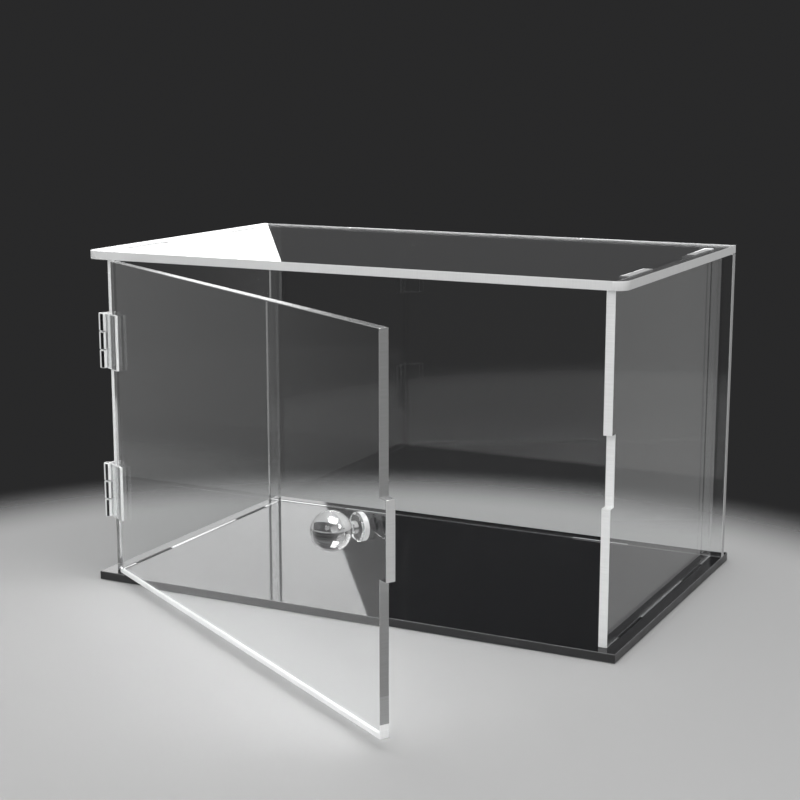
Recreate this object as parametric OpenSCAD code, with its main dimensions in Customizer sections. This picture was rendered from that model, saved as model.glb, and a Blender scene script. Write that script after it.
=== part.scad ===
/* [Sheets] */
// Thickness of the clear sheet that the walls, the top and the door are cut from
sheet_t = 5; // [3:0.5:8]
// Thickness of the black base plate
base_t = 5; // [3:0.5:10]

/* [Base plate] */
// Width of the base plate
base_w = 330; // [260:1:480]
// Depth of the base plate
base_d = 211; // [180:1:360]
// Base showing outside the hinge-side panel
hinge_margin = 8; // [4:0.5:20]
// Base showing outside the catch-side panel
catch_margin = 7; // [4:0.5:20]
// Base showing in front of the side panels
front_margin = 7; // [4:0.5:20]
// Base showing behind the back panel
back_margin = 8; // [3:0.5:20]

/* [Walls] */
// Height of the walls between the base plate and the top plate
wall_h = 190; // [160:1:400]

/* [Top plate] */
// Overhang of the top plate past the hinge-side panel
top_hinge_overhang = 12.5; // [4:0.5:20]
// Overhang of the top plate past the catch-side panel
top_catch_overhang = 6.5; // [2:0.5:20]
// Overhang of the top plate past the front of the side panels
top_front_overhang = 4; // [0:0.5:20]
// Overhang of the top plate past the back panel
top_back_overhang = 2; // [1:0.5:20]
// Radius of the top plate's two front corners
top_corner_r = 7; // [1:0.5:15]

/* [Tabs and slots] */
// Length of each tab on a side panel
side_tab_l = 38.5; // [15:0.5:60]
// Distance between the middles of a side panel's two tabs
side_tab_pitch = 114; // [70:1:120]
// Length of each tab on the back panel
back_tab_l = 34; // [15:0.5:60]
// Distance between the middles of the back panel's two tabs
back_tab_pitch = 166; // [80:1:190]
// Clearance of a tab in its slot, on every side
slot_gap = 0.2; // [0.05:0.05:0.5]
// How far a tab stops short of the far face of its plate
tab_setback = 0.3; // [0:0.1:1]

/* [Door] */
// Gap between the door and the walls and plates around it
door_gap = 0.5; // [0.3:0.1:2]
// How far the door's face stands in front of the side panels' edges
door_proud = 0.3; // [0.1:0.1:1]
// Angle at which the door is drawn open
door_open = 31.4; // [0:0.1:90]
// Length of the catch tab on the door's free edge
catch_tab_l = 38; // [15:1:60]
// Clearance of the catch tab in its notch
catch_gap = 0.3; // [0.1:0.1:1]

/* [Hinges] */
// Height of a hinge along its pin
hinge_l = 33; // [24:1:45]
// Height of the lower hinge's middle above the door's bottom edge
hinge_low = 50.5; // [30:0.5:60]
// Distance between the middles of the two hinges
hinge_pitch = 91; // [60:0.5:100]
// Diameter of the hinge barrel
barrel_d = 5; // [4:0.5:8]
// Thickness of a hinge leaf
leaf_t = 2; // [1:0.1:2.4]
// Width of the door leaf from the pin's axis to its outer edge
door_leaf_w = 17; // [13:0.5:30]
// Width of the case leaf from the pin's axis to its outer edge
case_leaf_w = 11.5; // [9:0.5:30]
// Diameter of the hinge pin
pin_d = 2; // [1:0.1:2.6]
// Clearance of the pin in the door leaf's knuckle, on the radius
pin_play = 0.08; // [0.02:0.01:0.1]
// Clearance of the pin in the case leaf's knuckles, on the radius
pin_seat = 0.02; // [0.01:0.01:0.05]
// Gap between two knuckles
knuckle_gap = 0.4; // [0.2:0.1:1]
// Gap between a leaf's edge and the other leaf's knuckle
relief_gap = 0.4; // [0.2:0.1:1]

/* [Knob] */
// Diameter of the ball
ball_d = 19; // [12:0.5:28]
// Distance of the ball's middle from the door's face
ball_out = 16; // [14:0.5:26]
// Diameter of the neck behind the ball
neck_d = 6; // [5:0.5:8]
// Diameter of the flange on the door
flange_d = 13.5; // [10:0.5:24]
// Thickness of the flange
flange_t = 3.5; // [3:0.5:6]
// Chamfer round the front of the flange
flange_chamfer = 0.9; // [0.2:0.1:1.5]
// Diameter of the neck's spigot in the flange
spigot_d = 4; // [2:0.5:4.5]
// Depth of the spigot's socket in the flange
socket_h = 2.5; // [1:0.5:2.5]
// Clearance of the spigot in its socket
spigot_gap = 0.05; // [0.02:0.01:0.2]
// Distance of the knob's axis from the door's free edge
knob_edge = 15; // [10:0.5:40]
// Height of the knob's axis above the door's bottom edge
knob_h = 97; // [20:1:140]

/* [Hidden] */
$fn = 96;

// How far a cut runs past the face that it opens
overrun = 1;

// The walls stand between the base plate and the top plate
wall_z0 = base_t;
wall_z1 = base_t + wall_h;

// Outer faces of the two side panels, and the space between them
case_x0 = hinge_margin - base_w / 2;
case_x1 = base_w / 2 - catch_margin;
inside_x0 = case_x0 + sheet_t;
inside_x1 = case_x1 - sheet_t;

// The side panels run from their front edges back to the back panel
panel_y0 = front_margin - base_d / 2;
back_y1 = base_d / 2 - back_margin;
back_y0 = back_y1 - sheet_t;
panel_d = back_y0 - panel_y0;
panel_mid_y = (panel_y0 + back_y0) / 2;

// Edges of the top plate
top_x0 = case_x0 - top_hinge_overhang;
top_x1 = case_x1 + top_catch_overhang;
top_y0 = panel_y0 - top_front_overhang;
top_y1 = back_y1 + top_back_overhang;

// Reach of the tabs into the base plate and into the top plate
tab_down = base_t - tab_setback;
tab_up = sheet_t - tab_setback;

// Faces of the door when it is shut
door_x0 = inside_x0 + door_gap;
door_x1 = inside_x1 - door_gap;
door_z0 = wall_z0 + door_gap;
door_z1 = wall_z1 - door_gap;
door_y0 = panel_y0 - door_proud;
door_y1 = door_y0 + sheet_t;

// The catch tab sits halfway up the door, and its notch is as deep as the tab needs
catch_z = (door_z0 + door_z1) / 2;
notch_d = door_y1 + catch_gap - panel_y0;

// The pin's axis stands off the panel's outer face and the door's face by the barrel's radius
barrel_r = barrel_d / 2;
pin_r = pin_d / 2;
axis_x = case_x0 - barrel_r;
axis_y = door_y0 - barrel_r;
lower_z = door_z0 + hinge_low - hinge_l / 2;
upper_z = lower_z + hinge_pitch;

// Three equal knuckles share the barrel: the case leaf has the outer two
knuckle_l = (hinge_l - 2 * knuckle_gap) / 3;
knuckle_step = knuckle_l + knuckle_gap;
case_knuckles = [0, 2];
door_knuckles = [1];
relief_r = barrel_r + relief_gap;

clear_tint = [0.80, 0.87, 0.90, 0.40];
black_gloss = [0.04, 0.04, 0.045];
pin_tint = [0.45, 0.46, 0.48];

// Slots of both side panels and of the back panel, cut through a plate
module panel_slots(z, thickness) {
    slot_h = thickness + 2 * overrun;
    slot_w = sheet_t + 2 * slot_gap;
    side_slot_l = side_tab_l + 2 * slot_gap;
    back_slot_l = back_tab_l + 2 * slot_gap;
    for (x = [case_x0, inside_x1], side = [-1, 1]) {
        y = panel_mid_y + side * side_tab_pitch / 2 - side_slot_l / 2;
        translate([x - slot_gap, y, z - overrun]) cube([slot_w, side_slot_l, slot_h]);
    }
    for (side = [-1, 1]) {
        x = side * back_tab_pitch / 2 - back_slot_l / 2;
        translate([x, back_y0 - slot_gap, z - overrun]) cube([back_slot_l, slot_w, slot_h]);
    }
}

// Two strips as high as a panel with its tabs, centred on middle
module tab_strips(middle, length, pitch) {
    for (side = [-1, 1])
        translate([middle + side * pitch / 2 - length / 2, wall_z0 - tab_down])
            square([length, tab_down + wall_h + tab_up]);
}

// Outline of a side panel, drawn in depth and height
module side_outline() {
    translate([panel_y0, wall_z0]) square([panel_d, wall_h]);
    tab_strips(panel_mid_y, side_tab_l, side_tab_pitch);
}

// Stands a side outline up, with its outer or inner face at x
module stand_side(x) {
    translate([x, 0, 0]) rotate([90, 0, 90]) linear_extrude(sheet_t) children();
}

// Stands a front outline up, with its back face at y
module stand_front(y) {
    translate([0, y, 0]) rotate([90, 0, 0]) linear_extrude(sheet_t) children();
}

// Swings what belongs to the door open about the pins
module swung() {
    translate([axis_x, axis_y, 0]) rotate([0, 0, -door_open]) translate([-axis_x, -axis_y, 0]) children();
}

// The black base plate that everything stands on
module base_plate() {
    color(black_gloss) difference() {
        translate([-base_w / 2, -base_d / 2, 0]) cube([base_w, base_d, base_t]);
        panel_slots(0, base_t);
    }
}

// The top plate, with its two front corners rounded
module top_plate() {
    top_w = top_x1 - top_x0;
    color(clear_tint) difference() {
        translate([0, 0, wall_z1]) linear_extrude(sheet_t) {
            translate([top_x0, top_y0 + top_corner_r]) square([top_w, top_y1 - top_y0 - top_corner_r]);
            translate([top_x0 + top_corner_r, top_y0]) square([top_w - 2 * top_corner_r, 2 * top_corner_r]);
            for (x = [top_x0 + top_corner_r, top_x1 - top_corner_r])
                translate([x, top_y0 + top_corner_r]) circle(r = top_corner_r);
        }
        panel_slots(wall_z1, sheet_t);
    }
}

// The hinge-side panel
module left_panel() {
    color(clear_tint) stand_side(case_x0) side_outline();
}

// The catch-side panel, with the notch that takes the door's catch tab
module right_panel() {
    color(clear_tint) stand_side(inside_x1) difference() {
        side_outline();
        translate([panel_y0 - overrun, catch_z - catch_tab_l / 2 - catch_gap])
            square([notch_d + overrun, catch_tab_l + 2 * catch_gap]);
    }
}

// The back panel, as wide as the base plate, closing the side panels' back edges
module back_panel() {
    color(clear_tint) stand_front(back_y1) {
        translate([-base_w / 2, wall_z0]) square([base_w, wall_h]);
        tab_strips(0, back_tab_l, back_tab_pitch);
    }
}

// The door, with the catch tab on its free edge flush with the catch-side panel
module door_panel() {
    color(clear_tint) swung() stand_front(door_y1) {
        translate([door_x0, door_z0]) square([door_x1 - door_x0, door_z1 - door_z0]);
        translate([door_x0, catch_z - catch_tab_l / 2]) square([case_x1 - door_x0, catch_tab_l]);
    }
}

// One hinge leaf lying along +X, its glued face towards +Y, bored for the pin
module leaf(leaf_w, own, other, bore_r) {
    difference() {
        union() {
            translate([0, barrel_r - leaf_t, 0]) cube([leaf_w, leaf_t, hinge_l]);
            for (k = own) translate([0, 0, k * knuckle_step]) cylinder(r = barrel_r, h = knuckle_l);
        }
        for (k = other)
            translate([-relief_r, -relief_r, k * knuckle_step - knuckle_gap])
                cube([2 * relief_r, 2 * relief_r, knuckle_l + 2 * knuckle_gap]);
        translate([0, 0, -overrun]) cylinder(r = bore_r, h = hinge_l + 2 * overrun);
    }
}

// Leaf glued to the hinge-side panel's outer face
module case_leaf(z) {
    color(clear_tint) translate([axis_x, axis_y, z]) mirror([1, -1, 0])
        leaf(case_leaf_w, case_knuckles, door_knuckles, pin_r + pin_seat);
}

// Leaf glued to the door's face
module door_leaf(z) {
    color(clear_tint) swung() translate([axis_x, axis_y, z])
        leaf(door_leaf_w, door_knuckles, case_knuckles, pin_r + pin_play);
}

// Pin through all three knuckles, held by the case leaf
module hinge_pin(z) {
    color(pin_tint) translate([axis_x, axis_y, z]) cylinder(r = pin_r, h = hinge_l);
}

// Puts a knob piece, drawn upright, on the door's face
module on_door_face() {
    swung() translate([door_x1 - knob_edge, door_y0, door_z0 + knob_h]) rotate([90, 0, 0]) children();
}

// The ball, its neck and the spigot that is glued into the flange
module knob_ball() {
    spigot_z = flange_t - socket_h + spigot_gap;
    color(clear_tint) on_door_face() {
        translate([0, 0, ball_out]) sphere(d = ball_d);
        translate([0, 0, flange_t]) cylinder(d = neck_d, h = ball_out - flange_t);
        translate([0, 0, spigot_z]) cylinder(d = spigot_d, h = ball_out - spigot_z);
    }
}

// The flange glued to the door's face, with a blind socket for the spigot
module knob_flange() {
    rim_h = flange_t - flange_chamfer;
    color(clear_tint) on_door_face() difference() {
        union() {
            cylinder(d = flange_d, h = rim_h);
            translate([0, 0, rim_h])
                cylinder(d1 = flange_d, d2 = flange_d - 2 * flange_chamfer, h = flange_chamfer);
        }
        translate([0, 0, flange_t - socket_h])
            cylinder(d = spigot_d + 2 * spigot_gap, h = socket_h + overrun);
    }
}

base_plate();
top_plate();
left_panel();
right_panel();
back_panel();
door_panel();
case_leaf(upper_z);  // upper_hinge_case_leaf
door_leaf(upper_z);  // upper_hinge_door_leaf
hinge_pin(upper_z);  // upper_hinge_pin
case_leaf(lower_z);  // lower_hinge_case_leaf
door_leaf(lower_z);  // lower_hinge_door_leaf
hinge_pin(lower_z);  // lower_hinge_pin
knob_ball();
knob_flange();
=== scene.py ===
from math import asin, cos, pi, radians, sin, sqrt

import bpy
from mathutils import Matrix, Vector


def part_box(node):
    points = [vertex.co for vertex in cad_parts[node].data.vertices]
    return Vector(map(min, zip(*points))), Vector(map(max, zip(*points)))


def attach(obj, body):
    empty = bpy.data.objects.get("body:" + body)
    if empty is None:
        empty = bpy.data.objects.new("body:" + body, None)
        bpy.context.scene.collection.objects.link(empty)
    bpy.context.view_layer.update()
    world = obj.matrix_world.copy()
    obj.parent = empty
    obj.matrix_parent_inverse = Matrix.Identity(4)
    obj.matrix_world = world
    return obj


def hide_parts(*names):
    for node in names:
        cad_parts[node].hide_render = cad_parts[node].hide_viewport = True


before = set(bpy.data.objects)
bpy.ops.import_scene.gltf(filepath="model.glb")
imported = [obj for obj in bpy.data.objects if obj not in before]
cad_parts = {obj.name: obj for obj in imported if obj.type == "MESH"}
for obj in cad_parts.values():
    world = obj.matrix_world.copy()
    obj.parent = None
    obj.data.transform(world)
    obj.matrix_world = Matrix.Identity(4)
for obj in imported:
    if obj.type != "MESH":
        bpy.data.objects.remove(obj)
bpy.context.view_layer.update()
MM = 0.001


# The base plate is 5 mm black acrylic, laser cut with a slot for each tab and polished on its top.
# Everything else stands in it. Its sharp edges are eased a little, so they catch the light as a thin line,
# and the eased faces are painted lighter than the black as a painted highlight.
BASE_BLACK = (0.010, 0.010, 0.011, 1)
BASE_CUT_BLACK = (0.022, 0.022, 0.023, 1)
# The arrises' grey is a painted highlight on the black.
BASE_ARRIS_PAINTED_SHINE = (0.13, 0.13, 0.132, 1)
BASE_ARRIS = 0.35 * MM
ACRYLIC_IOR = 1.49
MERGE_REACH = 0.002 * MM
FLAT_ANGLE = radians(0.5)
SHARP_ANGLE = radians(40)
ROUND_ANGLE = radians(30)
CEMENTED_WAY = 0.9
ARRIS_STEPS = 2
BROAD_FACE = 12 * MM ** 2
BASE_WAVE = 0.02
WIPE_FROM, WIPE_TO = 0.4, 0.7
LEVEL = 0.99
SLOPING = 0.2


def select_only(piece):
    """Leaves this piece as the one selected and active object."""
    bpy.ops.object.select_all(action="DESELECT")
    piece.select_set(True)
    bpy.context.view_layer.objects.active = piece


def merged_copy(node, name):
    """A copy of a CAD node with its loose triangles merged back into whole faces."""
    piece = bpy.data.objects.new(name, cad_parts[node].data.copy())
    bpy.context.scene.collection.objects.link(piece)
    piece.data.materials.clear()
    select_only(piece)
    bpy.ops.object.mode_set(mode="EDIT")
    bpy.ops.mesh.select_all(action="SELECT")
    bpy.ops.mesh.remove_doubles(threshold=MERGE_REACH)
    bpy.ops.mesh.dissolve_limited(angle_limit=FLAT_ANGLE)
    bpy.ops.object.mode_set(mode="OBJECT")
    return piece


def ease_edges(piece, width, cemented=None, clamp=True, keep=None):
    """Rounds every sharp outer edge over by width. The edges of a face that looks along cemented stay sharp,
    as another sheet is cemented to it, and so do those whose middle keep says to keep. Broad flat faces stay
    flat, so that they mirror without a bend."""
    faces_at = {}
    for face in piece.data.polygons:
        for edge in face.edge_keys:
            faces_at.setdefault(edge, []).append(face)
    weights = piece.data.attributes.new("bevel_weight_edge", "FLOAT", "EDGE")
    for edge in piece.data.edges:
        less, more = sorted(faces_at[edge.key], key=lambda face: face.area)
        sharp = less.normal.angle(more.normal) > SHARP_ANGLE
        outer = (less.center - more.center).dot(more.normal) < 0
        joined = cemented and max(less.normal.dot(cemented), more.normal.dot(cemented)) > CEMENTED_WAY
        ends = [piece.data.vertices[corner].co for corner in edge.vertices]
        kept = keep and keep((ends[0] + ends[1]) / 2)
        weights.data[edge.index].value = 1 if sharp and outer and not joined and not kept else 0
    select_only(piece)
    ease = piece.modifiers.new("eased", "BEVEL")
    ease.width = width
    ease.segments = ARRIS_STEPS
    ease.limit_method = "WEIGHT"
    ease.use_clamp_overlap = clamp
    bpy.ops.object.modifier_apply(modifier=ease.name)
    bpy.ops.object.shade_smooth_by_angle(angle=ROUND_ANGLE)
    for face in piece.data.polygons:
        if face.area > BROAD_FACE:
            face.use_smooth = False


def fit_piece(piece, body, node):
    """Puts a finished piece in its node's place on a body."""
    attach(piece, body)
    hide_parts(node)


def new_material(name):
    """A material with its Principled shader, ready for more nodes."""
    material = bpy.data.materials.new(name)
    material.use_nodes = True
    return material, material.node_tree, material.node_tree.nodes["Principled BSDF"]


def sheet_waviness():
    """Group for polished plastic: very slightly wavy reflections, and fine wipe marks in the gloss."""
    group = bpy.data.node_groups.new("sheet_waviness", "ShaderNodeTree")
    values = (
        ("Wave Scale", 9.0),
        ("Wave Height", 0.01),
        ("Mark Scale", 60.0),
        ("Least", 0.0),
        ("Most", 0.02),
    )
    for name, value in values:
        socket = group.interface.new_socket(name, in_out="INPUT", socket_type="NodeSocketFloat")
        socket.default_value = value
    group.interface.new_socket("Normal", in_out="OUTPUT", socket_type="NodeSocketVector")
    group.interface.new_socket("Roughness", in_out="OUTPUT", socket_type="NodeSocketFloat")
    nodes, links = group.nodes, group.links
    given = nodes.new("NodeGroupInput")
    made = nodes.new("NodeGroupOutput")
    place = nodes.new("ShaderNodeTexCoord")
    wave = nodes.new("ShaderNodeTexNoise")
    wave.inputs["Detail"].default_value = 1
    bump = nodes.new("ShaderNodeBump")
    bump.inputs["Distance"].default_value = MM
    marks = nodes.new("ShaderNodeTexNoise")
    marks.inputs["Detail"].default_value = 6
    spread = nodes.new("ShaderNodeMapRange")
    spread.inputs["From Min"].default_value = WIPE_FROM
    spread.inputs["From Max"].default_value = WIPE_TO
    links.new(place.outputs["Object"], wave.inputs["Vector"])
    links.new(place.outputs["Object"], marks.inputs["Vector"])
    links.new(given.outputs["Wave Scale"], wave.inputs["Scale"])
    links.new(given.outputs["Wave Height"], bump.inputs["Strength"])
    links.new(given.outputs["Mark Scale"], marks.inputs["Scale"])
    links.new(given.outputs["Least"], spread.inputs["To Min"])
    links.new(given.outputs["Most"], spread.inputs["To Max"])
    links.new(wave.outputs["Fac"], bump.inputs["Height"])
    links.new(marks.outputs["Fac"], spread.inputs["Value"])
    links.new(bump.outputs["Normal"], made.inputs["Normal"])
    links.new(spread.outputs["Result"], made.inputs["Roughness"])
    return group


WAVINESS = sheet_waviness()


def add_waviness(tree, shader, **values):
    """Places the waviness group in a material and feeds its gloss and normal from it."""
    node = tree.nodes.new("ShaderNodeGroup")
    node.node_tree = WAVINESS
    for name, value in values.items():
        node.inputs[name.replace("_", " ")].default_value = value
    tree.links.new(node.outputs["Normal"], shader.inputs["Normal"])
    tree.links.new(node.outputs["Roughness"], shader.inputs["Roughness"])


def black_gloss(name, colour, least, most):
    """Black acrylic of a given gloss, from the least to the most roughness."""
    material, tree, shader = new_material(name)
    shader.inputs["Base Color"].default_value = colour
    shader.inputs["IOR"].default_value = ACRYLIC_IOR
    add_waviness(tree, shader, Wave_Height=BASE_WAVE, Least=least, Most=most)
    return material


def lay_finishes(piece, finishes, choose):
    """Gives a piece its finishes and each face the one that choose picks for it."""
    for material in finishes:
        piece.data.materials.append(material)
    for face in piece.data.polygons:
        face.material_index = finishes.index(choose(face))


def base_finish(face):
    """The top and the underside are polished, the edges are as cut, and the arrises between them are painted
    lighter as a painted highlight.
    """
    lean = abs(face.normal.z)
    if lean > LEVEL:
        return black_face
    return painted_shine_arris if lean > SLOPING else black_edge


black_face = black_gloss("black_gloss_face", BASE_BLACK, least=0.015, most=0.05)
black_edge = black_gloss("black_cut_edge", BASE_CUT_BLACK, least=0.3, most=0.42)
# The eased arrises are painted lighter than the black: painted highlight.
painted_shine_arris = black_gloss("eased_arris_painted_shine", BASE_ARRIS_PAINTED_SHINE, least=0.2, most=0.35)
base_sheet = merged_copy("base_plate", "base_sheet")
ease_edges(base_sheet, BASE_ARRIS)
lay_finishes(base_sheet, [black_face, black_edge, painted_shine_arris], base_finish)
fit_piece(base_sheet, "case", "base_plate")


# The case is cut from 5 mm clear acrylic: two side panels and a back panel with tabs that stand in the base,
# and a top plate that drops over their upper tabs. All the joints are cemented. The faces are water clear, the
# panels' edges are flame polished and the top's are as cut. The edges are painted pale as bands: the top's
# partly for the cut's frost, and all of them as painted light for the light that the sheets gather there.
CLEAR_TINT = (0.99, 0.995, 0.995, 1)
SHADOW_TINT = (0.90, 0.91, 0.91, 1)
# Pale edge colour: partly the cut's frost, partly painted light for the light the sheets gather.
EDGE_FROST_AND_PAINTED_LIGHT = (0.90, 0.905, 0.905, 1)
# Near white: the cement bead's own colour, and painted light on the door's foot and the top's back rim.
BEAD_WHITE_AND_PAINTED_LIGHT = (0.98, 0.985, 0.985, 1)
# The top's cut rim: the cut's frost and painted light.
TOP_EDGE_FROST_AND_PAINTED_LIGHT = (0.78, 0.785, 0.785, 1)
SHEET_WAVE = 0.004
LINE_FINENESS = 2400
LINES_FROM, LINES_TO = 0.35, 0.65
JOINT_HAZE = 0.06
SHEET_ARRIS = 0.3 * MM
JOINT_FILM = 0.02 * MM
WALL_FOOT = 4.6 * MM
WALL_TOP = 195.4 * MM
TAB_END = 199.4 * MM
UP = Vector((0, 0, 1))
BACK = Vector((0, 1, 0))
ACROSS_CASE = Vector((1, 0, 0))
TURNED = 0.3
SQUARE = 0.9
DEAD_SQUARE = 0.999


def let_lamps_through(tree, shader, tint):
    """Clear plastic passes lamplight on to what is behind it, with a faint shadow."""
    clear = tree.nodes.new("ShaderNodeBsdfTransparent")
    clear.inputs["Color"].default_value = tint
    path = tree.nodes.new("ShaderNodeLightPath")
    mix = tree.nodes.new("ShaderNodeMixShader")
    tree.links.new(path.outputs["Is Shadow Ray"], mix.inputs["Fac"])
    tree.links.new(shader.outputs["BSDF"], mix.inputs[1])
    tree.links.new(clear.outputs["BSDF"], mix.inputs[2])
    tree.links.new(mix.outputs["Shader"], tree.nodes["Material Output"].inputs["Surface"])


def clear_plastic(name, tint, least, most):
    """Clear plastic of a given tint, from the least to the most roughness."""
    material, tree, shader = new_material(name)
    shader.inputs["Base Color"].default_value = tint
    shader.inputs["Transmission Weight"].default_value = 1
    shader.inputs["IOR"].default_value = ACRYLIC_IOR
    add_waviness(tree, shader, Wave_Height=SHEET_WAVE, Least=least, Most=most)
    let_lamps_through(tree, shader, SHADOW_TINT)
    return material


def cut_marks():
    """Group for a laser-cut edge: fine lines across the sheet's thickness, which is the direction Across."""
    group = bpy.data.node_groups.new("cut_marks", "ShaderNodeTree")
    across = group.interface.new_socket("Across", in_out="INPUT", socket_type="NodeSocketVector")
    across.default_value = (0, 0, 1)
    for name, value in (("Smoothest", 0.12), ("Roughest", 0.26), ("Palest", 1.0), ("Darkest", 0.93)):
        socket = group.interface.new_socket(name, in_out="INPUT", socket_type="NodeSocketFloat")
        socket.default_value = value
    for name in ("Shade", "Roughness"):
        group.interface.new_socket(name, in_out="OUTPUT", socket_type="NodeSocketFloat")
    nodes, links = group.nodes, group.links
    given = nodes.new("NodeGroupInput")
    made = nodes.new("NodeGroupOutput")
    place = nodes.new("ShaderNodeTexCoord")
    along = nodes.new("ShaderNodeVectorMath")
    along.operation = "PROJECT"
    flat = nodes.new("ShaderNodeVectorMath")
    flat.operation = "SUBTRACT"
    lines = nodes.new("ShaderNodeTexNoise")
    lines.inputs["Scale"].default_value = LINE_FINENESS
    lines.inputs["Detail"].default_value = 3
    gloss = nodes.new("ShaderNodeMapRange")
    shade = nodes.new("ShaderNodeMapRange")
    for spread in (gloss, shade):
        spread.inputs["From Min"].default_value = LINES_FROM
        spread.inputs["From Max"].default_value = LINES_TO
        links.new(lines.outputs["Fac"], spread.inputs["Value"])
    links.new(place.outputs["Object"], along.inputs[0])
    links.new(given.outputs["Across"], along.inputs[1])
    links.new(place.outputs["Object"], flat.inputs[0])
    links.new(along.outputs["Vector"], flat.inputs[1])
    links.new(flat.outputs["Vector"], lines.inputs["Vector"])
    links.new(given.outputs["Smoothest"], gloss.inputs["To Min"])
    links.new(given.outputs["Roughest"], gloss.inputs["To Max"])
    links.new(given.outputs["Palest"], shade.inputs["To Min"])
    links.new(given.outputs["Darkest"], shade.inputs["To Max"])
    links.new(gloss.outputs["Result"], made.inputs["Roughness"])
    links.new(shade.outputs["Result"], made.inputs["Shade"])
    return group


CUT_MARKS = cut_marks()


def cut_edge(
    name, across, transmission, clear_inside,
    smoothest=0.12, roughest=0.26, colour=EDGE_FROST_AND_PAINTED_LIGHT, painted_glow=0,
):
    """A cut edge: pale, partly see-through, with fine lines where the cut ran. Its pale is partly the cut's
    frost and partly painted light. A polished one is pale only from outside, and from inside the sheet it
    mirrors as its faces do. One with a painted glow glows from inside, an emission that stands in for the
    light that the sheet brings to the edge."""
    material, tree, shader = new_material(name)
    shader.inputs["Transmission Weight"].default_value = transmission
    shader.inputs["IOR"].default_value = ACRYLIC_IOR
    marks = tree.nodes.new("ShaderNodeGroup")
    marks.node_tree = CUT_MARKS
    marks.inputs["Across"].default_value = across
    marks.inputs["Smoothest"].default_value = smoothest
    marks.inputs["Roughest"].default_value = roughest
    tint = tree.nodes.new("ShaderNodeMix")
    tint.data_type = "RGBA"
    tint.blend_type = "MULTIPLY"
    tint.inputs["Factor"].default_value = 1
    tint.inputs["A"].default_value = colour
    tree.links.new(marks.outputs["Shade"], tint.inputs["B"])
    tree.links.new(tint.outputs["Result"], shader.inputs["Base Color"])
    tree.links.new(marks.outputs["Roughness"], shader.inputs["Roughness"])
    if clear_inside or painted_glow:
        inside = tree.nodes.new("ShaderNodeBsdfPrincipled")
        inside.inputs["Base Color"].default_value = CLEAR_TINT
        inside.inputs["Transmission Weight"].default_value = 1 if clear_inside else 0
        inside.inputs["IOR"].default_value = ACRYLIC_IOR
        inside.inputs["Roughness"].default_value = 0 if clear_inside else roughest
        # A glow from inside the edge: painted light.
        inside.inputs["Emission Color"].default_value = colour
        inside.inputs["Emission Strength"].default_value = painted_glow
        side = tree.nodes.new("ShaderNodeNewGeometry")
        mix = tree.nodes.new("ShaderNodeMixShader")
        tree.links.new(side.outputs["Backfacing"], mix.inputs["Fac"])
        tree.links.new(shader.outputs["BSDF"], mix.inputs[1])
        tree.links.new(inside.outputs["BSDF"], mix.inputs[2])
        tree.links.new(mix.outputs["Shader"], tree.nodes["Material Output"].inputs["Surface"])
    return material


def cement_joint():
    """Solvent cement melts two sheets into one, so the joint is all but unseen from inside and out."""
    material, tree, shader = new_material("cement_joint")
    shader.inputs["Base Color"].default_value = EDGE_FROST_AND_PAINTED_LIGHT
    shader.inputs["IOR"].default_value = ACRYLIC_IOR
    shader.inputs["Alpha"].default_value = JOINT_HAZE
    add_waviness(tree, shader, Mark_Scale=300, Least=0.1, Most=0.3)
    return material


CLEAR_FACE = clear_plastic("clear_acrylic_face", CLEAR_TINT, least=0.0, most=0.012)
CEMENT_JOINT = cement_joint()


def cut_across(piece, place, normal):
    """Parts a sheet's faces along a plane, so that a strip of one can have its own finish."""
    select_only(piece)
    bpy.ops.object.mode_set(mode="EDIT")
    bpy.ops.mesh.select_all(action="SELECT")
    bpy.ops.mesh.bisect(plane_co=place, plane_no=normal)
    bpy.ops.object.mode_set(mode="OBJECT")


def all_clear(normal, place):
    """For a broad face that has no strip with a finish of its own."""
    return CLEAR_FACE


def clear_sheet(
    node, name, body, edges, finish,
    cemented=None, parted=(), broad_finish=all_clear,
):
    """One clear sheet. finish picks the finish of a face of its edges by the way it looks and its place, and
    broad_finish does the same for its two broad faces, or for the strips that they are parted into."""
    piece = merged_copy(node, name)
    for place, normal in parted:
        cut_across(piece, place, normal)
    facing = max(piece.data.polygons, key=lambda face: face.area).normal.copy()
    ease_edges(piece, SHEET_ARRIS, cemented=cemented)

    def choose(face):
        broad = abs(face.normal.dot(facing)) > DEAD_SQUARE
        return (broad_finish if broad else finish)(face.normal, face.center)

    lay_finishes(piece, [CLEAR_FACE, *edges], choose)
    for corner in piece.data.vertices:
        corner.co -= corner.normal * JOINT_FILM
    fit_piece(piece, body, node)
    return piece


def side_finish(normal, place):
    """A side panel's tabs are clear but for their upper ends, and its rear edge is one with the back panel.
    Its foot shows a film of cement. The left panel's front edge below the hinges has that clearer finish too,
    as painted shade where the door shades it, and the notch for the catch tab is left as cut."""
    by_notch = NOTCH_FROM < place.z < NOTCH_TO
    if place.z > TAB_END:
        return side_edge
    if place.z < WALL_FOOT or place.z > WALL_TOP:
        return CLEAR_FACE
    if normal.y > TURNED:
        return CEMENT_JOINT
    # The left panel's front edge below the hinges is left clearer than the pale edge: painted shade.
    if place.x < 0 and place.z < LEFT_PAINTED_SHADE_TO:
        return foot_cement_and_shade
    if by_notch and place.y > NOTCH_BEHIND:
        return notch_edge
    if abs(normal.z) > SQUARE and not by_notch:
        return foot_cement_and_shade if normal.z < 0 else CLEAR_FACE
    return side_edge


def back_beads(normal, place):
    """A line of cement shows inside the case along the foot of each of the back panel's tabs."""
    along_tab = BEAD_FROM < place.z < BEAD_TO and BACK_TAB_FROM < abs(place.x) < BACK_TAB_TO
    return cement_bead if normal.y < -SQUARE and along_tab else CLEAR_FACE


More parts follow.
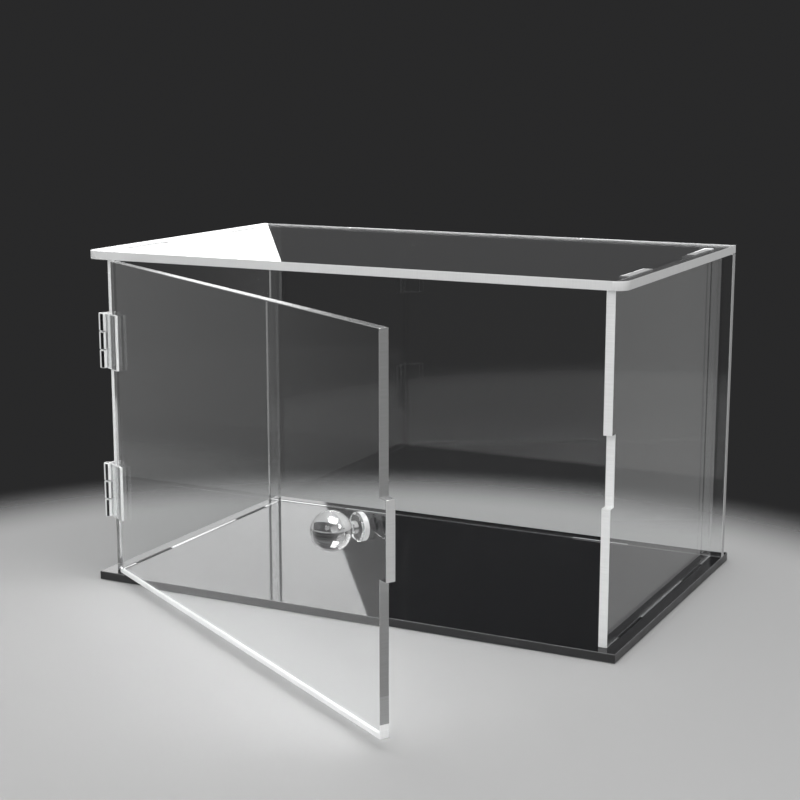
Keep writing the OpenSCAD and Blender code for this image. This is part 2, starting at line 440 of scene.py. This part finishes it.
def back_finish(normal, place):
    """The back panel's upright edges and the ends of its upper tabs are polished, and the rest is clear."""
    if place.z > TAB_END:
        return back_edge
    in_slot = place.z < WALL_FOOT or place.z > WALL_TOP
    return CLEAR_FACE if in_slot or abs(normal.z) > SQUARE else back_edge


def top_finish(normal, place):
    """The top plate's rim is as cut, and at the back it is painted near white with a glow of its own: painted
    light. Of its slots, the back ones' long walls and the side ones' outer walls are as cut, and the rest is
    clear."""
    in_slot = TOP_FROM.x < place.x < TOP_TO.x and TOP_FROM.y < place.y < TOP_TO.y
    if not in_slot:
        return painted_glow_back_rim if normal.y > SQUARE else top_edge
    if abs(place.x) > SIDE_SLOTS_FROM:
        shows = normal.x * place.x < -HALF_TURNED * abs(place.x)
    else:
        shows = abs(normal.y) > HALF_TURNED
    return top_edge if shows else CLEAR_FACE


# Below this height the left panel's front edge carries painted shade.
LEFT_PAINTED_SHADE_TO = 39 * MM
BEAD_FROM, BEAD_TO = 4.9 * MM, 5.7 * MM
BACK_TAB_FROM, BACK_TAB_TO = 66 * MM, 100 * MM
NOTCH_FROM, NOTCH_TO = 75 * MM, 125 * MM
NOTCH_BEHIND = -98.3 * MM
TOP_FROM = Vector((-165, -95, 0)) * MM
TOP_TO = Vector((160, 98.6, 0)) * MM
SIDE_SLOTS_FROM = 150 * MM
HALF_TURNED = 0.5
side_edge = cut_edge("polished_side_edge", ACROSS_CASE, transmission=0.05, clear_inside=True)
back_edge = cut_edge("polished_back_edge", BACK, transmission=0.5, clear_inside=True)
top_edge = cut_edge("cut_top_edge", UP, transmission=0.0, clear_inside=False, colour=TOP_EDGE_FROST_AND_PAINTED_LIGHT)
notch_edge = cut_edge("cut_notch_edge", ACROSS_CASE, transmission=0.0, clear_inside=True)
# Real cement at the panels' foot, and painted shade on the left front edge below the hinges.
foot_cement_and_shade = cut_edge("cemented_foot_and_painted_shade", ACROSS_CASE, transmission=0.75, clear_inside=False)
# The top's back rim is painted near white and glows from inside: painted light.
painted_glow_back_rim = cut_edge(
    "cut_back_rim_painted_glow", UP, transmission=0.0, clear_inside=False,
    colour=BEAD_WHITE_AND_PAINTED_LIGHT, painted_glow=1.0,
)
cement_bead = cut_edge(
    "cement_bead", BACK, transmission=0.0, clear_inside=True,
    smoothest=0.2, roughest=0.4, colour=BEAD_WHITE_AND_PAINTED_LIGHT,
)
side_edges = [side_edge, notch_edge, foot_cement_and_shade, CEMENT_JOINT]
left_parts = [(UP * LEFT_PAINTED_SHADE_TO, UP)]
tab_ends = (-BACK_TAB_TO, -BACK_TAB_FROM, BACK_TAB_FROM, BACK_TAB_TO)
bead_ends = [(ACROSS_CASE * x, ACROSS_CASE) for x in tab_ends]
bead_sides = [(UP * z, UP) for z in (BEAD_FROM, BEAD_TO)]
clear_sheet("left_panel", "left_sheet", "case", side_edges, side_finish, cemented=BACK, parted=left_parts)
clear_sheet("right_panel", "right_sheet", "case", side_edges, side_finish, cemented=BACK)
clear_sheet(
    "back_panel", "back_sheet", "case", [back_edge, cement_bead], back_finish,
    parted=bead_ends + bead_sides, broad_finish=back_beads,
)
clear_sheet("top_plate", "top_sheet", "case", [top_edge, painted_glow_back_rim], top_finish)


# The door is one more clear sheet, hung between the side panels. The tab on its free edge closes into the
# notch in the right panel. Its bottom edge and a narrow band of both faces along its foot are painted white, a
# painted highlight, and a short stretch of the free edge above is painted darker, a painted shade.
HINGE_AXIS = Vector((-159.5, -101.3, 0)) * MM
DOOR_SET_OPEN = radians(-31.4)
ALONG_DOOR = Vector((cos(DOOR_SET_OPEN), sin(DOOR_SET_OPEN), 0))
OUT_OF_DOOR = Vector((sin(DOOR_SET_OPEN), -cos(DOOR_SET_OPEN), 0))


def painted_foot_band(normal, place):
    """Both faces are painted white in a narrow band along the foot, a painted highlight of the bottom edge."""
    return painted_white_foot if place.z < PAINTED_BAND_TO else CLEAR_FACE


def door_finish(normal, place):
    """The door's foot is painted white, a painted highlight, and the free edge a little higher up too. Above
    that, the free edge is painted darker, a painted shade, then polished. The catch tab's end is as cut, and
    the edge by the hinges is clear."""
    outward = normal.dot(ALONG_DOOR)
    out_of_hinges = (place - HINGE_AXIS).dot(ALONG_DOOR)
    # The foot and the band up the free edge are painted white: painted highlight.
    if place.z < PAINTED_BAND_TO or place.z < PAINTED_END_BAND_TO and outward > TURNED:
        return painted_white_foot
    # Above that, a stretch of the free edge is painted darker: painted shade.
    if place.z < PAINTED_SHADE_END_TO and outward > TURNED:
        return painted_shade_door_end
    if outward < -TURNED:
        return CLEAR_FACE
    return catch_tab_end if outward > SQUARE and out_of_hinges > TAB_FROM else door_edge


TAB_FROM = 315 * MM
PAINTED_BAND_TO = 8.1 * MM
PAINTED_END_BAND_TO = 12.5 * MM
PAINTED_SHADE_END_TO = 26 * MM
# Dark grey for the free edge's painted shade.
PAINTED_SHADE_END_TINT = (0.36, 0.364, 0.364, 1)
door_edge = cut_edge("polished_door_edge", OUT_OF_DOOR, transmission=0.7, clear_inside=True)
# Painted highlight: a white band round the door's foot.
painted_white_foot = cut_edge(
    "painted_highlight_foot", OUT_OF_DOOR, transmission=0.1, clear_inside=False,
    colour=BEAD_WHITE_AND_PAINTED_LIGHT,
)
catch_tab_end = cut_edge("cut_catch_tab_end", OUT_OF_DOOR, transmission=0.35, clear_inside=True)
# The free edge's lower stretch is painted dark grey: painted shade.
painted_shade_door_end = cut_edge(
    "painted_shade_door_end", OUT_OF_DOOR, transmission=0.05, clear_inside=True,
    colour=PAINTED_SHADE_END_TINT,
)
door_edges = [door_edge, painted_white_foot, catch_tab_end, painted_shade_door_end]
door_parts = [(UP * z, UP) for z in (PAINTED_BAND_TO, PAINTED_END_BAND_TO, PAINTED_SHADE_END_TO)]
door = clear_sheet(
    "door_panel", "door_sheet", "door", door_edges, door_finish,
    parted=door_parts, broad_finish=painted_foot_band,
)


# Two clear moulded hinges carry the door. Each has a leaf cemented to the left panel's outer face, a leaf
# cemented to the door's face, three knuckles that share one barrel, and a steel pin through them.
HINGE_TINT = (0.97, 0.985, 0.985, 1)
HINGE_ARRIS = 0.4 * MM
PIN_ARRIS = 0.2 * MM
PIN_GREY = (0.04, 0.04, 0.043, 1)
BORE_REACH = 1.3 * MM
BARREL_RADIUS = 2.5 * MM
BARREL_REACH = 2.7 * MM
# How much more painted light the barrel's leaf side gets, and where the painted light starts and is full.
LEAF_SIDE_PAINTED_LIGHT = 0.36
PALE_FROM, PALE_TO = 0.05, 0.09
FINE_GRAIN = 900
HINGE_REACH = 3.2 * MM
UPRIGHT = 0.1

CLEAR_HINGE = clear_plastic("clear_moulded_hinge", HINGE_TINT, least=0.01, most=0.05)
HINGE_EDGE = cut_edge("moulded_hinge_edge", UP, transmission=0.2, clear_inside=True)
HINGE_RIM = cut_edge(
    "dull_hinge_rim", UP, transmission=0.92, clear_inside=False,
    smoothest=0.3, roughest=0.42,
)


def barrel_with_painted_rims():
    """A knuckle is clear in the middle, where its pin shows, and painted pale where its round side turns away,
    most of all on the side where the leaves run into it: painted light, for the light that a clear barrel
    bends in from its sides."""
    material, tree, shader = new_material("clear_hinge_barrel_painted_rims")
    shader.inputs["Base Color"].default_value = HINGE_TINT
    shader.inputs["Transmission Weight"].default_value = 1
    shader.inputs["IOR"].default_value = ACRYLIC_IOR
    add_waviness(tree, shader, Least=0.01, Most=0.05)
    # The pale shader is painted light on the barrel's rims.
    pale = tree.nodes.new("ShaderNodeBsdfPrincipled")
    pale.inputs["Base Color"].default_value = EDGE_FROST_AND_PAINTED_LIGHT
    pale.inputs["IOR"].default_value = ACRYLIC_IOR
    add_waviness(tree, pale, Mark_Scale=FINE_GRAIN, Least=0.12, Most=0.26)
    turned = tree.nodes.new("ShaderNodeLayerWeight")
    turned.inputs["Blend"].default_value = 0.5
    place = tree.nodes.new("ShaderNodeTexCoord")
    from_pin = tree.nodes.new("ShaderNodeVectorMath")
    from_pin.operation = "SUBTRACT"
    from_pin.inputs[1].default_value = HINGE_AXIS
    towards_leaves = tree.nodes.new("ShaderNodeVectorMath")
    towards_leaves.operation = "DOT_PRODUCT"
    leaf_side = (ALONG_DOOR + BACK).normalized()
    towards_leaves.inputs[1].default_value = leaf_side * LEAF_SIDE_PAINTED_LIGHT / BARREL_RADIUS
    paler = tree.nodes.new("ShaderNodeMath")
    paler.operation = "ADD"
    spread = tree.nodes.new("ShaderNodeMapRange")
    spread.inputs["From Min"].default_value = PALE_FROM
    spread.inputs["From Max"].default_value = PALE_TO
    sides = tree.nodes.new("ShaderNodeMixShader")
    inner = tree.nodes.new("ShaderNodeNewGeometry")
    whole = tree.nodes.new("ShaderNodeMixShader")
    tree.links.new(place.outputs["Object"], from_pin.inputs[0])
    tree.links.new(from_pin.outputs["Vector"], towards_leaves.inputs[0])
    tree.links.new(turned.outputs["Facing"], paler.inputs[0])
    tree.links.new(towards_leaves.outputs["Value"], paler.inputs[1])
    tree.links.new(paler.outputs["Value"], spread.inputs["Value"])
    tree.links.new(spread.outputs["Result"], sides.inputs["Fac"])
    tree.links.new(shader.outputs["BSDF"], sides.inputs[1])
    tree.links.new(pale.outputs["BSDF"], sides.inputs[2])
    tree.links.new(inner.outputs["Backfacing"], whole.inputs["Fac"])
    tree.links.new(sides.outputs["Shader"], whole.inputs[1])
    tree.links.new(shader.outputs["BSDF"], whole.inputs[2])
    tree.links.new(whole.outputs["Shader"], tree.nodes["Material Output"].inputs["Surface"])
    return material


PAINTED_RIM_BARREL = barrel_with_painted_rims()


def pin_steel():
    """Darkened steel wire with a fine drawn grain."""
    material, tree, shader = new_material("pin_steel")
    shader.inputs["Base Color"].default_value = PIN_GREY
    shader.inputs["Metallic"].default_value = 1
    add_waviness(tree, shader, Mark_Scale=FINE_GRAIN, Least=0.2, Most=0.35)
    return material


PIN_STEEL = pin_steel()


def off_axis(place):
    """The level way from the hinges' axis to a place."""
    return (place - HINGE_AXIS) * Vector((1, 1, 0))


def at_bore(place):
    """The bores' rims stay sharp, so that they don't show past the pin."""
    return off_axis(place).length < BORE_REACH


def hinge_piece(node, name, body, rim_way, rim_finish):
    """A leaf and its knuckles. The knuckles' ends are painted pale as painted light, and the bores are dark
    with the pin that fills them. The leaf's outer rim looks along rim_way, and all its flat rims have
    rim_finish."""
    piece = merged_copy(node, name)
    ease_edges(piece, HINGE_ARRIS, clamp=False, keep=at_bore)

    def choose(face):
        reach = off_axis(face.center).length
        level = abs(face.normal.z)
        rimward = max(level, face.normal.dot(rim_way))
        if reach < BORE_REACH and level < HALF_TURNED:
            return PIN_STEEL
        if reach < HINGE_REACH and level > TURNED:
            return HINGE_EDGE
        if reach < BARREL_REACH:
            return PAINTED_RIM_BARREL
        if rimward > SQUARE:
            return rim_finish
        return HINGE_RIM if rimward > TURNED else CLEAR_HINGE

    lay_finishes(piece, [CLEAR_HINGE, HINGE_EDGE, PIN_STEEL, PAINTED_RIM_BARREL, HINGE_RIM], choose)
    for face in piece.data.polygons:
        face.use_smooth = off_axis(face.center).length < BARREL_REACH and abs(face.normal.z) < UPRIGHT
    for corner in piece.data.vertices:
        corner.co -= corner.normal * JOINT_FILM
    fit_piece(piece, body, node)


def hinge_pin(node, name):
    """A plain wire pin, with its ends a little eased."""
    piece = merged_copy(node, name)
    piece.data.materials.append(PIN_STEEL)
    ease_edges(piece, PIN_ARRIS)
    fit_piece(piece, "case", node)


for hinge in ("upper", "lower"):
    hinge_piece(hinge + "_hinge_case_leaf", hinge + "_case_leaf_moulding", "case", BACK, HINGE_RIM)
    hinge_piece(hinge + "_hinge_door_leaf", hinge + "_door_leaf_moulding", "door", ALONG_DOOR, HINGE_EDGE)
    hinge_pin(hinge + "_hinge_pin", hinge + "_pin_wire")


# The knob is turned from clear acrylic: a ball that narrows to a short neck, whose spigot is cemented into a
# round flange on the door's face. The ball is polished, so it shows what lies behind it upside down.
KNOB_TINT = (0.99, 0.995, 0.995, 1)
KNOB_SEAT = Vector((137.5, -98.8, 102.5)) * MM
BALL_RADIUS = 9.48 * MM
BALL_REACH = 16 * MM
NECK_RADIUS = 3 * MM
FLANGE_RADIUS = 6.75 * MM
FLANGE_THICK = 3.5 * MM
FLANGE_CHAMFER = 0.9 * MM
TURNING = 96
BALL_STEPS = 48
KNOB_ROUND_ANGLE = radians(25)

CLEAR_KNOB = clear_plastic("clear_turned_knob", KNOB_TINT, least=0.0, most=0.01)


def draw_ring(radius, height):
    """A plain ring of points to turn a profile from."""
    bpy.ops.object.select_all(action="DESELECT")
    bpy.ops.mesh.primitive_circle_add(vertices=TURNING, radius=radius, location=(0, 0, height))
    bpy.ops.object.transform_apply(location=True, rotation=False, scale=False)
    piece = bpy.context.active_object
    bpy.ops.object.mode_set(mode="EDIT")
    bpy.ops.mesh.select_all(action="SELECT")
    return piece


def turn_profile(piece, profile):
    """Extrudes the ring from point to point along a profile of (radius, height), from its first point on, and
    closes both ends."""
    bpy.ops.mesh.edge_face_add()
    radius, height = profile[0]
    for next_radius, next_height in profile[1:]:
        bpy.ops.mesh.extrude_region_move(TRANSFORM_OT_translate={"value": (0, 0, next_height - height)})
        scale = next_radius / radius
        bpy.ops.transform.resize(value=(scale, scale, 1), center_override=(0, 0, next_height))
        radius, height = next_radius, next_height
    bpy.ops.mesh.edge_face_add()
    bpy.ops.mesh.select_all(action="SELECT")
    bpy.ops.mesh.normals_make_consistent(inside=False)
    bpy.ops.object.mode_set(mode="OBJECT")


def set_on_door(piece):
    """Turns a piece made upright at the origin on to the door's face, and swings it open with the door."""
    lie = Matrix.Translation(KNOB_SEAT) @ Matrix.Rotation(pi / 2, 4, "X")
    open_up = Matrix.Rotation(DOOR_SET_OPEN, 4, "Z")
    swing = Matrix.Translation(HINGE_AXIS) @ open_up @ Matrix.Translation(-HINGE_AXIS)
    piece.data.transform(swing @ lie)


def ball_profile():
    """Up the neck, round its fillet and over the ball."""
    neck_top = BALL_REACH - sqrt(BALL_RADIUS ** 2 - NECK_RADIUS ** 2)
    profile = [(NECK_RADIUS, FLANGE_THICK + JOINT_FILM), (NECK_RADIUS, neck_top)]
    start = asin(NECK_RADIUS / BALL_RADIUS)
    for step in range(1, BALL_STEPS):
        turn = start + (pi - start) * step / BALL_STEPS
        profile.append((BALL_RADIUS * sin(turn), BALL_REACH - BALL_RADIUS * cos(turn)))
    return profile


def flange_finish(face):
    """The flange's round rim is as turned, and its two faces and its chamfer are polished."""
    return flange_rim if abs(face.normal.z) < UPRIGHT else CLEAR_KNOB


profile = ball_profile()
ball = draw_ring(*profile[0])
ball.name = "knob_ball_turned"
turn_profile(ball, profile)
flange_profile = [
    (FLANGE_RADIUS, JOINT_FILM),
    (FLANGE_RADIUS, FLANGE_THICK - FLANGE_CHAMFER),
    (FLANGE_RADIUS - FLANGE_CHAMFER, FLANGE_THICK),
]
flange = draw_ring(*flange_profile[0])
flange.name = "knob_flange_turned"
turn_profile(flange, flange_profile)
flange_rim = cut_edge("turned_flange_rim", OUT_OF_DOOR, transmission=0.45, clear_inside=False)
ball.data.materials.append(CLEAR_KNOB)
lay_finishes(flange, [CLEAR_KNOB, flange_rim], flange_finish)
for piece, node in ((ball, "knob_ball"), (flange, "knob_flange")):
    select_only(piece)
    bpy.ops.object.shade_smooth_by_angle(angle=KNOB_ROUND_ANGLE)
    set_on_door(piece)
    fit_piece(piece, "door", node)


# The camera stands in front to the right, a little higher than the case, and is tilted slightly down, as the
# photograph's was. The colours are shown as they are, with no film look over them.
CAMERA_TURN = radians(26.76)
CAMERA_PITCH = radians(11.158)
CAMERA_PLACE = Vector((435.6, -891.0, 302.75)) * MM
CAMERA_LENS = 74.71
SENSOR_WIDTH = 36
NEAREST_SEEN = 10 * MM

AWAY = Vector((-sin(CAMERA_TURN), cos(CAMERA_TURN), 0))
ACROSS = Vector((cos(CAMERA_TURN), sin(CAMERA_TURN), 0))

camera = bpy.data.cameras.new("camera")
camera.lens = CAMERA_LENS
camera.sensor_width = SENSOR_WIDTH
camera.clip_start = NEAREST_SEEN
holder = bpy.data.objects.new("camera", camera)
holder.location = CAMERA_PLACE
holder.rotation_euler = (pi / 2 - CAMERA_PITCH, 0, CAMERA_TURN)
bpy.context.scene.collection.objects.link(holder)
bpy.context.scene.camera = holder
bpy.context.scene.view_settings.view_transform = "Standard"


# The floor is a plain pale round mat with a soft edge that fades into the backdrop. The backdrop is dark grey
# behind the case and paler above and to the sides, so the clear sheets have something to mirror.
FLOOR_PALE = (0.52, 0.52, 0.52, 1)
FLOOR_DULL = 0.9
FLOOR_SHINE = 0.1
FLOOR_HALF = 3.0
FLOOR_DROP = 0.3 * MM
MAT_MIDDLE_BACK = -0.17
MAT_MIDDLE_ACROSS = -0.05
MAT_INNER = 0.33
MAT_OUTER = 0.45
SOFT_LIGHT = (0.50, 0.50, 0.50, 1)
BACKDROP_GREY = (0.022, 0.022, 0.0225, 1)
HIGH_BACK_GREY = (0.075, 0.075, 0.076, 1)
BACKDROP_PALE = (0.36, 0.36, 0.365, 1)
LOW_FRONT_GREY = (0.085, 0.085, 0.085, 1)
LOW_SIDE_GREY = (0.30, 0.30, 0.30, 1)
LOW_SIDES = (0.42, 0.60)
HORIZON = (-0.06, 0.10)
BACK_BAND_FOOT = (0.05, 0.09)
BACK_BAND_HEAD = (0.14, 0.20)
BACK_SPREAD = (0.68, 0.88)


def lay_floor():
    """The mat is dull and plain, and past its soft edge it is see-through."""
    bpy.ops.mesh.primitive_plane_add(size=2 * FLOOR_HALF, location=(0, 0, -FLOOR_DROP))
    floor = bpy.context.active_object
    floor.name = "floor"
    material, tree, shader = new_material("pale_floor")
    shader.inputs["Base Color"].default_value = FLOOR_PALE
    shader.inputs["Roughness"].default_value = FLOOR_DULL
    shader.inputs["Specular IOR Level"].default_value = FLOOR_SHINE
    place = tree.nodes.new("ShaderNodeTexCoord")
    middle = tree.nodes.new("ShaderNodeVectorMath")
    middle.operation = "DISTANCE"
    middle.inputs[1].default_value = AWAY * MAT_MIDDLE_BACK + ACROSS * MAT_MIDDLE_ACROSS
    fade = tree.nodes.new("ShaderNodeMapRange")
    fade.interpolation_type = "SMOOTHSTEP"
    fade.inputs["From Min"].default_value = MAT_INNER
    fade.inputs["From Max"].default_value = MAT_OUTER
    nothing = tree.nodes.new("ShaderNodeBsdfTransparent")
    mix = tree.nodes.new("ShaderNodeMixShader")
    tree.links.new(place.outputs["Object"], middle.inputs[0])
    tree.links.new(middle.outputs["Value"], fade.inputs["Value"])
    tree.links.new(fade.outputs["Result"], mix.inputs["Fac"])
    tree.links.new(shader.outputs["BSDF"], mix.inputs[1])
    tree.links.new(nothing.outputs["BSDF"], mix.inputs[2])
    tree.links.new(mix.outputs["Shader"], tree.nodes["Material Output"].inputs["Surface"])
    floor.data.materials.append(material)


def hang_backdrop():
    """The studio as seen: pale overhead and at the sides, dark grey behind the case, grey low down in front.
    Its light on dull faces is an even soft grey from all round."""
    world = bpy.data.worlds.new("studio")
    bpy.context.scene.world = world
    world.use_nodes = True
    tree = world.node_tree
    place = tree.nodes.new("ShaderNodeTexCoord")
    towards = tree.nodes.new("ShaderNodeVectorMath")
    towards.operation = "DOT_PRODUCT"
    towards.inputs[1].default_value = AWAY
    split = tree.nodes.new("ShaderNodeSeparateXYZ")
    tree.links.new(place.outputs["Generated"], towards.inputs[0])
    tree.links.new(place.outputs["Generated"], split.inputs["Vector"])

    def fade(source, low, high):
        """From 0 to 1 as the source goes from low to high."""
        node = tree.nodes.new("ShaderNodeMapRange")
        node.interpolation_type = "SMOOTHSTEP"
        node.inputs["From Min"].default_value = low
        node.inputs["From Max"].default_value = high
        tree.links.new(source, node.inputs["Value"])
        return node.outputs["Result"]

    def blend(factor, first, second):
        """From the first colour to the second as the factor goes from 0 to 1."""
        node = tree.nodes.new("ShaderNodeMix")
        node.data_type = "RGBA"
        tree.links.new(factor, node.inputs["Factor"])
        for name, value in (("A", first), ("B", second)):
            if isinstance(value, tuple):
                node.inputs[name].default_value = value
            else:
                tree.links.new(value, node.inputs[name])
        return node.outputs["Result"]

    up = split.outputs["Z"]
    ahead = towards.outputs["Value"]
    low = blend(fade(ahead, *LOW_SIDES), LOW_FRONT_GREY, LOW_SIDE_GREY)
    round_about = blend(fade(up, *HORIZON), low, BACKDROP_PALE)
    back_band = blend(fade(up, *BACK_BAND_FOOT), BACKDROP_GREY, HIGH_BACK_GREY)
    back_grey = blend(fade(up, *BACK_BAND_HEAD), back_band, BACKDROP_GREY)
    studio = blend(fade(ahead, *BACK_SPREAD), round_about, back_grey)
    path = tree.nodes.new("ShaderNodeLightPath")
    seen = blend(path.outputs["Is Diffuse Ray"], studio, SOFT_LIGHT)
    tree.links.new(seen, tree.nodes["Background"].inputs["Color"])


lay_floor()
hang_backdrop()


# The lamps are plain and soft: a round one overhead, a round one in front, and a large panel far behind on
# the left, whose mirror image is the white corner on the top and the base. Two more give the ball its bright
# spots, and the one overhead also shines down on the door's white foot.
OVERHEAD = Vector((0.34, -0.33, 1.17))
OVERHEAD_GLOW = 1.9
OVERHEAD_WIDTH = 1.0
FRONT_FILL = Vector((0.15, -1.6, 0.95))
FRONT_FILL_GLOW = 5.0
FRONT_FILL_WIDTH = 0.8
SHINE_GLOW = 22.0
SHINE_BELOW = 20 * MM
RIGHT_FRONT = Vector((1.37, -0.38, 0.87))
RIGHT_FRONT_WIDTH = 0.52
FAR_LEFT_AWAY = 5.0
FAR_LEFT_ACROSS = -0.71
FAR_LEFT_HEIGHT = 1.17
FAR_LEFT_GLOW = 2.3
FAR_LEFT_SIZE = (1.0, 1.5)
FAR_LEFT_LEAN = radians(19.3)


def from_camera(away, across, height):
    """A place so far away from the camera and so far across its view, at a height over the floor."""
    place = CAMERA_PLACE + AWAY * away + ACROSS * across
    place.z = height
    return place


def hang_lamp(name, place, aim, glow, width, height=None, lean=0.0, shine_on=()):
    """An area lamp of a given glow: round, or a rectangle whose upright edges lean over to the right. One
    that has pieces to shine on gives only those pieces their highlights."""
    lamp = bpy.data.lights.new(name, "AREA")
    lamp.shape = "RECTANGLE" if height else "DISK"
    lamp.size = width
    if height:
        lamp.size_y = height
    area = width * height if height else pi * (width / 2) ** 2
    lamp.energy = glow * pi * area
    back = (place - aim).normalized()
    right = UP.cross(back).normalized()
    up = back.cross(right)
    turned = Matrix((right, up, back)).transposed().to_4x4()
    holder = bpy.data.objects.new(name, lamp)
    holder.matrix_world = Matrix.Translation(place) @ turned @ Matrix.Rotation(lean, 4, "Z")
    holder.visible_camera = False
    bpy.context.scene.collection.objects.link(holder)
    if shine_on:
        holder.visible_diffuse = False
        shining = bpy.data.collections.new(name)
        for piece in shine_on:
            shining.objects.link(piece)
        holder.light_linking.receiver_collection = shining


knob_place = sum(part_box("knob_ball"), Vector()) / 2
far_left = from_camera(FAR_LEFT_AWAY, FAR_LEFT_ACROSS, FAR_LEFT_HEIGHT)
hang_lamp("overhead", OVERHEAD, knob_place, OVERHEAD_GLOW, OVERHEAD_WIDTH)
hang_lamp("front_fill", FRONT_FILL, knob_place, FRONT_FILL_GLOW, FRONT_FILL_WIDTH)
under_it = OVERHEAD - UP * SHINE_BELOW
hang_lamp("overhead_shine", under_it, knob_place, SHINE_GLOW, OVERHEAD_WIDTH, shine_on=(ball, door))
hang_lamp("right_front_shine", RIGHT_FRONT, knob_place, SHINE_GLOW, RIGHT_FRONT_WIDTH, shine_on=(ball,))
hang_lamp("far_left", far_left, UP * FAR_LEFT_HEIGHT, FAR_LEFT_GLOW, *FAR_LEFT_SIZE, lean=FAR_LEFT_LEAN)
